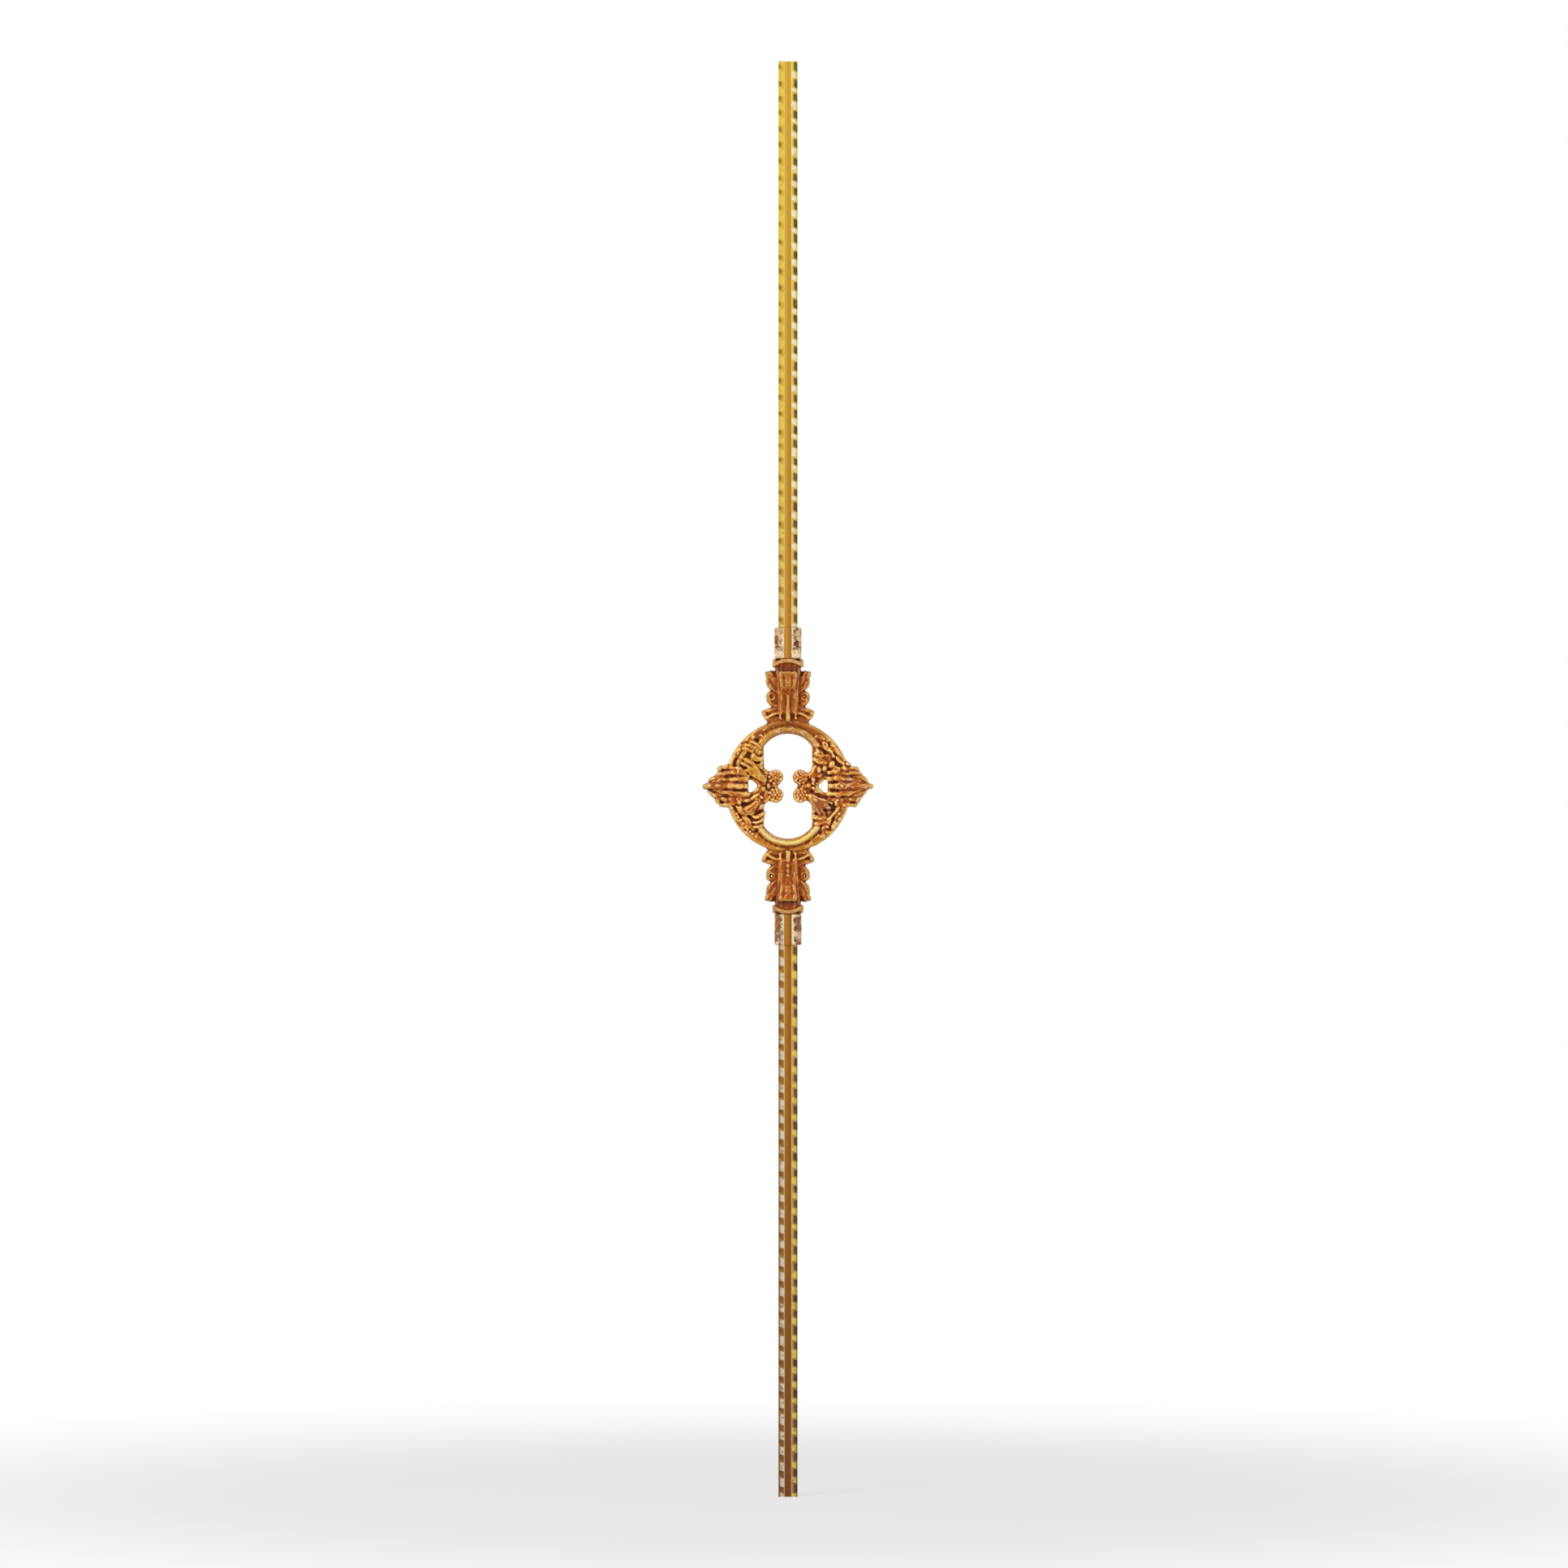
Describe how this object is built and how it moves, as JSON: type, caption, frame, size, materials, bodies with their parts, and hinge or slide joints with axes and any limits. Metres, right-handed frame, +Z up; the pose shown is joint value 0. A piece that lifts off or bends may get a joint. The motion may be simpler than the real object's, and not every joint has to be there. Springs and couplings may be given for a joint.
{
  "type": "stair_baluster",
  "caption": "Ornamental metal stair baluster: hammered square bars welded to a cast oval medallion with acanthus leaves, rosettes and side palmettes, gilt finish",
  "frame": {"origin": "centre of the lower bar's foot, on its end face", "axes": "+Z up along the bars, +X to the right of the medallion seen from its front, -Y out of its front"},
  "size_m": [0.107, 0.0222, 0.9],
  "materials": {
    "gilt_bar": "gold lacquer over hammered steel, amber towards the foot, darker in the hammer marks",
    "gilt_casting": "copper-gold lacquer over cast iron, red-brown patina in the recesses, rubbed bright on the ridges"
  },
  "bodies": {
    "root": {"lower_bar": "gilt_bar", "upper_bar": "gilt_bar", "lower_collar": "gilt_bar", "upper_collar": "gilt_bar", "medallion": "gilt_casting"}
  },
  "joints": []
}
